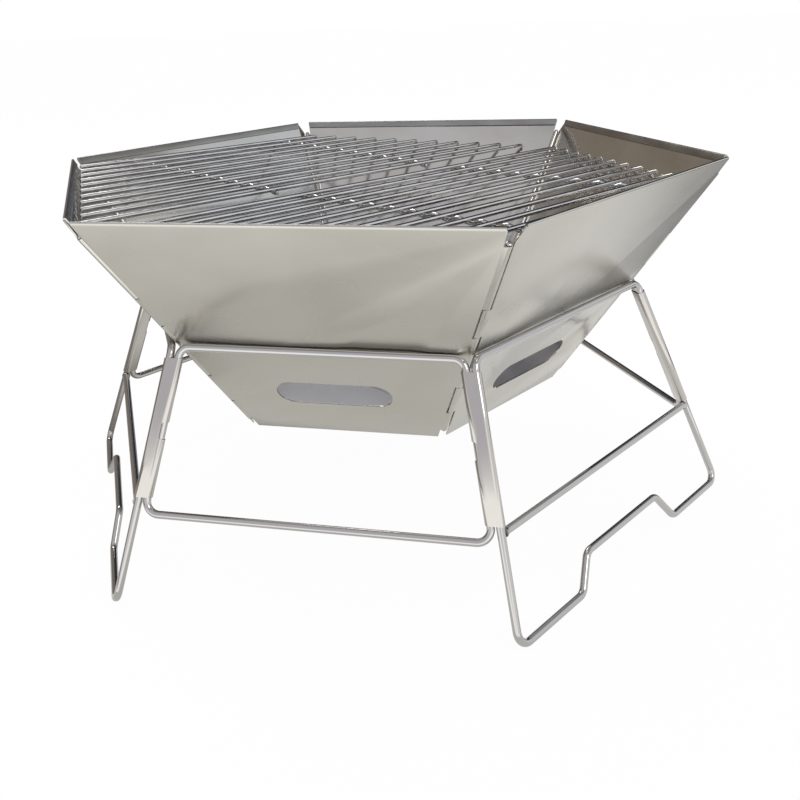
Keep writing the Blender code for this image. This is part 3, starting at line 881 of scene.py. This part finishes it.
def relief(tree, shader, layers):
    """Bumps the surface by noises, each with its height in millimetres."""
    normal = None
    for noise, height_mm in layers:
        inputs = {"Height": noise, "Strength": 1.0, "Distance": height_mm * MM}
        if normal:
            inputs["Normal"] = normal
        normal = put(tree, "ShaderNodeBump", None, inputs).outputs["Normal"]
    tree.links.new(normal, shader.inputs["Normal"])


def bright_annealed_sheet():
    """Cold rolled stainless sheet: a soft mirror, a little wavy, with a faint rolling grain."""
    material, tree, shader = bare_metal("bright_annealed_stainless_sheet", "#C1BEB7", 0.15)
    waves = stretched_noise(tree, 120.0, 55.0, 1.0)
    # The rolling grain is finer than a pixel in the real sheet; it is drawn at 1 mm.
    grain = stretched_noise(tree, 1.0, 45.0)
    smudges = stretched_noise(tree, 40.0, 60.0, 4.0)
    vary_roughness(tree, shader, smudges, 0.12, 0.19)
    vary_colour(tree, shader, smudges, "#BDBAB2", "#C6C3BD")
    relief(tree, shader, [(waves, 0.03), (grain, 0.0012)])
    return material


def outer_sheet():
    """The same sheet's outer side, cold rolled and pickled: an even, duller sheen."""
    material, tree, shader = bare_metal("cold_rolled_stainless_sheet", "#C1BEB7", 0.28)
    # The rolling grain is finer than a pixel in the real sheet; it is drawn at 1 mm.
    grain = stretched_noise(tree, 1.0, 45.0)
    smudges = stretched_noise(tree, 60.0, 90.0, 3.0)
    vary_roughness(tree, shader, smudges, 0.25, 0.32)
    vary_colour(tree, shader, smudges, "#BFBCB4", "#C4C1BA")
    relief(tree, shader, [(grain, 0.0012)])
    return material


def folded_rim_sheet():
    """The sheet's unpolished side, seen where the rim is folded in: duller, with its darker colour a
    painted shade.
    """
    material, tree, shader = bare_metal("dull_sheet_with_painted_shade", "#949290", 0.22)
    smudges = stretched_noise(tree, 12.0, 40.0, 3.0)
    vary_roughness(tree, shader, smudges, 0.18, 0.27)
    vary_colour(tree, shader, smudges, "#8C8A86", "#9A9996")
    return material


def chromed_wire():
    """Bright chrome on drawn steel wire: near mirror, with faint drawing lines along it."""
    material, tree, shader = bare_metal("chromed_steel_wire", "#BBB9B7", 0.07)
    # Drawing lines run along the wire, about 0.6 mm apart.
    lines = stretched_noise(tree, 60.0, 0.6, 1.0)
    dulling = stretched_noise(tree, 25.0, 8.0, 3.0)
    vary_roughness(tree, shader, dulling, 0.05, 0.10)
    relief(tree, shader, [(lines, 0.0010)])
    return material


def rolled_sleeve_steel():
    """Thin stainless strip bent round two wires: satin, with lines along the bend."""
    material, tree, shader = bare_metal("satin_stainless_strip", "#BFBBB6", 0.14)
    lines = stretched_noise(tree, 50.0, 0.7)
    dulling = stretched_noise(tree, 12.0, 6.0, 3.0)
    vary_roughness(tree, shader, dulling, 0.10, 0.17)
    relief(tree, shader, [(lines, 0.0015)])
    return material


def drawn_pin_steel():
    """Drawn stainless rod, peened over at its ends: satin."""
    material, tree, shader = bare_metal("drawn_stainless_rod", "#BDBCBA", 0.22)
    lines = stretched_noise(tree, 20.0, 0.5)
    vary_roughness(tree, shader, lines, 0.18, 0.27)
    relief(tree, shader, [(lines, 0.0010)])
    return material


def welded_grate_rod():
    """Polished stainless rod, spot welded: bright, a little uneven along each bar."""
    material, tree, shader = bare_metal("polished_stainless_rod", "#CFCECD", 0.12)
    dulling = stretched_noise(tree, 18.0, 9.0, 3.0)
    vary_roughness(tree, shader, dulling, 0.09, 0.17)
    vary_colour(tree, shader, dulling, "#C6C4C2", "#D6D5D4")
    relief(tree, shader, [(dulling, 0.004)])
    return material


def pressed_plate_steel():
    """Stainless plate as it leaves the press: satin, with a fine rolling grain."""
    material, tree, shader = bare_metal("satin_stainless_plate", "#9A999B", 0.52)
    grain = stretched_noise(tree, 45.0, 1.0)
    smudges = stretched_noise(tree, 35.0, 30.0, 4.0)
    vary_roughness(tree, shader, smudges, 0.48, 0.58)
    vary_colour(tree, shader, smudges, "#939295", "#A1A0A2")
    relief(tree, shader, [(grain, 0.0015)])
    return material


# The photographer's room.

CAMERA_PLACE = (0.1595, -0.6279, 0.3422)
CAMERA_YAW, CAMERA_PITCH, CAMERA_ROLL = 13.33, 24.06, -2.37
FOCAL_PIXELS = 886.9
PICTURE_PIXELS = 800
SENSOR_MM = 36.0
NEAREST_SEEN = 0.01


def make_camera():
    yaw, pitch, roll = (math.radians(a) for a in (CAMERA_YAW, CAMERA_PITCH, CAMERA_ROLL))
    ahead = Vector((-math.sin(yaw) * math.cos(pitch), math.cos(yaw) * math.cos(pitch), -math.sin(pitch)))
    right = ahead.cross(UP).normalized()
    up = right.cross(ahead)
    turned_right = right * math.cos(roll) + up * math.sin(roll)
    turned_up = up * math.cos(roll) - right * math.sin(roll)
    data = bpy.data.cameras.new("camera")
    data.sensor_fit = "HORIZONTAL"
    data.sensor_width = SENSOR_MM
    data.lens = FOCAL_PIXELS / PICTURE_PIXELS * SENSOR_MM
    data.clip_start = NEAREST_SEEN
    camera = bpy.data.objects.new("camera", data)
    axes = Matrix((turned_right, turned_up, -ahead)).transposed()
    camera.matrix_world = Matrix.Translation(CAMERA_PLACE) @ axes.to_4x4()
    bpy.context.scene.collection.objects.link(camera)
    bpy.context.scene.camera = camera


WHITE = (1.0, 1.0, 1.0, 1.0)

FLOOR_SIZE = 30.0
FLOOR_DROP = 0.0003
# How much of the floor is plain white to the eye, and how much of it in the metal is the painted light
# and shade below; the rest takes light and shadow.
FLOOR_WHITE = 0.96
FLOOR_WHITE_IN_METAL = 0.78
# The floor as the metal mirrors it, painted with light and shade: a painted shade in front of the stove
# and bands of painted light and painted shade laid over it:
# the direction to each band, where it begins and is full, and its colour.
FLOOR_NEAR_COLOUR = (0.74, 0.735, 0.70, 1.0)
FLOOR_BANDS = (
    ((0.50, 0.87, 0.0), -0.35, 0.25, WHITE),
    ((0.0, -1.0, 0.0), 0.26, 0.34, (1.7, 1.7, 1.7, 1.0)),
    ((-0.87, 0.50, 0.0), 0.14, 0.22, (0.13, 0.105, 0.08, 1.0)),
    ((-0.20, 0.98, 0.0), 0.16, 0.28, (0.10, 0.10, 0.11, 1.0)),
)


def make_floor():
    """A plain white floor that stays white to the eye and keeps a soft shadow; in the metal it shows
    painted light and shade.
    """
    half = FLOOR_SIZE / 2
    corners = [(-half, -half), (half, -half), (half, half), (-half, half)]
    bm = bmesh.new()
    bm.faces.new([bm.verts.new((x, y, -FLOOR_DROP)) for x, y in corners])
    floor = new_object("floor", bm)
    material = bpy.data.materials.new("white_paper")
    material.use_nodes = True
    tree = material.node_tree
    tree.nodes.clear()
    path = put(tree, "ShaderNodeLightPath")
    place = put(tree, "ShaderNodeTexCoord").outputs["Object"]
    # In the metal the floor is painted: painted shade near the stove, with bands of painted light and
    # shade over it.
    swept = FLOOR_NEAR_COLOUR
    for towards, begins, full, band in FLOOR_BANDS:
        along = put(tree, "ShaderNodeVectorMath", {"operation": "DOT_PRODUCT"}, {0: place, 1: towards})
        inputs = {"Value": along.outputs["Value"], "From Min": begins, "From Max": full}
        settings = {"interpolation_type": "SMOOTHSTEP"}
        share = put(tree, "ShaderNodeMapRange", settings, inputs).outputs["Result"]
        inputs = {0: share, MIX_A: swept, MIX_B: band}
        swept = put(tree, "ShaderNodeMix", {"data_type": "RGBA"}, inputs).outputs[MIX_COLOUR]
    inputs = {0: path.outputs["Is Camera Ray"], MIX_A: swept, MIX_B: WHITE}
    colour = put(tree, "ShaderNodeMix", {"data_type": "RGBA"}, inputs).outputs[MIX_COLOUR]
    in_metal = put(
        tree,
        "ShaderNodeMath",
        {"operation": "MAXIMUM"},
        {0: path.outputs["Is Glossy Ray"], 1: path.outputs["Is Transmission Ray"]},
    )
    mirrored = put(
        tree,
        "ShaderNodeMath",
        {"operation": "MULTIPLY"},
        {0: in_metal.outputs[0], 1: FLOOR_WHITE_IN_METAL},
    )
    share = put(
        tree,
        "ShaderNodeMath",
        {"operation": "MULTIPLY_ADD"},
        {0: path.outputs["Is Camera Ray"], 1: FLOOR_WHITE, 2: mirrored.outputs[0]},
    )
    paper = put(tree, "ShaderNodeBsdfDiffuse", None, {"Color": linear("#F4F4F4")})
    glow = put(tree, "ShaderNodeEmission", None, {"Color": colour, "Strength": 1.0})
    inputs = {0: share.outputs[0], 1: paper.outputs[0], 2: glow.outputs[0]}
    mixed = put(tree, "ShaderNodeMixShader", None, inputs)
    put(tree, "ShaderNodeOutputMaterial", None, {"Surface": mixed.outputs[0]})
    floor.data.materials.append(material)


# What the metal sees round it, as patches of a room: direction, inner and outer edge as the
# cosine of the angle from it, and colour.
ROOM_PATCHES = (
    ((0.10, -0.95, 0.15), 0.92, 0.60, (1.5, 1.5, 1.5)),
    ((0.0, 0.0, 1.0), 0.85, 0.45, (0.36, 0.36, 0.37)),
    ((0.0, 0.96, 0.28), 0.90, 0.62, (0.035, 0.04, 0.065)),
    ((-0.21, -0.71, 0.68), 0.92, 0.60, (0.74, 0.74, 0.80)),
    ((-0.87, 0.30, 0.10), 0.90, 0.55, (0.29, 0.25, 0.215)),
    ((0.86, 0.27, 0.43), 0.992, 0.94, (0.85, 0.92, 1.02)),
)
ROOM_LIGHT = 0.9


def make_room():
    world = bpy.data.worlds.new("studio")
    bpy.context.scene.world = world
    world.use_nodes = True
    tree = world.node_tree
    tree.nodes.clear()
    path = put(tree, "ShaderNodeLightPath")
    direction = put(tree, "ShaderNodeTexCoord").outputs["Generated"]
    colour = WHITE
    for towards, inner, outer, patch in ROOM_PATCHES:
        inputs = {0: direction, 1: Vector(towards).normalized()}
        facing = put(tree, "ShaderNodeVectorMath", {"operation": "DOT_PRODUCT"}, inputs)
        inputs = {"Value": facing.outputs["Value"], "From Min": outer, "From Max": inner}
        settings = {"interpolation_type": "SMOOTHSTEP"}
        share = put(tree, "ShaderNodeMapRange", settings, inputs).outputs["Result"]
        inputs = {0: share, MIX_A: colour, MIX_B: (*patch, 1.0)}
        colour = put(tree, "ShaderNodeMix", {"data_type": "RGBA"}, inputs).outputs[MIX_COLOUR]
    # Diffuse light is plain, and straight to the camera the room is white.
    inputs = {0: path.outputs["Is Diffuse Ray"], MIX_A: colour, MIX_B: (ROOM_LIGHT,) * 3 + (1.0,)}
    colour = put(tree, "ShaderNodeMix", {"data_type": "RGBA"}, inputs).outputs[MIX_COLOUR]
    inputs = {0: path.outputs["Is Camera Ray"], MIX_A: colour, MIX_B: WHITE}
    colour = put(tree, "ShaderNodeMix", {"data_type": "RGBA"}, inputs).outputs[MIX_COLOUR]
    back = put(tree, "ShaderNodeBackground", None, {"Color": colour, "Strength": 1.0})
    put(tree, "ShaderNodeOutputWorld", None, {"Surface": back.outputs[0]})


def soft_lamp(name, place, target, size, watts):
    data = bpy.data.lights.new(name, "AREA")
    data.shape = "RECTANGLE"
    data.size, data.size_y = size
    data.energy = watts
    lamp = bpy.data.objects.new(name, data)
    aim = (Vector(target) - Vector(place)).to_track_quat("-Z", "Y")
    lamp.matrix_world = Matrix.Translation(place) @ aim.to_matrix().to_4x4()
    bpy.context.scene.collection.objects.link(lamp)


# Each soft lamp's name, place, width and height, and power in watts.
LAMPS = (
    ("lamp_over_back_left", (-0.9, 1.1, 1.9), (1.2, 0.5), 14),
    ("lamp_front_right", (1.5, -1.2, 1.5), (0.7, 0.7), 8),
)
STOVE_MIDDLE = (0.0, 0.0, 0.15)


def make_lamps():
    for name, place, size, watts in LAMPS:
        soft_lamp(name, place, STOVE_MIDDLE, size, watts)


def make_stove():
    sheet = bright_annealed_sheet()
    pin = drawn_pin_steel()
    wire = chromed_wire()
    strip = rolled_sleeve_steel()
    rod = welded_grate_rod()
    plate = pressed_plate_steel()
    outside = outer_sheet()
    folded = folded_rim_sheet()
    for side in SIDES:
        make_panel(side, sheet, outside, folded)
    for corner in CORNERS:
        make_hinge_pin(corner, pin)
    for side in SIDES[1::2]:
        make_tall_frame(side, wire)
        make_crossbar(side, wire)
    for side in SIDES[0::2]:
        make_short_frame(side, wire)
        for corner in side_corners(side):
            make_sleeve(corner, side, strip)
    for node in GRATE_HALVES:
        make_grate_half(node, rod)
    make_plate("charcoal_plate", COAL_PLATE_Z, coal_holes(), plate)
    make_plate("ash_plate", ASH_PLATE_Z, [], plate)


make_stove()
make_camera()
make_floor()
make_room()
make_lamps()
bpy.context.scene.view_settings.view_transform = "Standard"
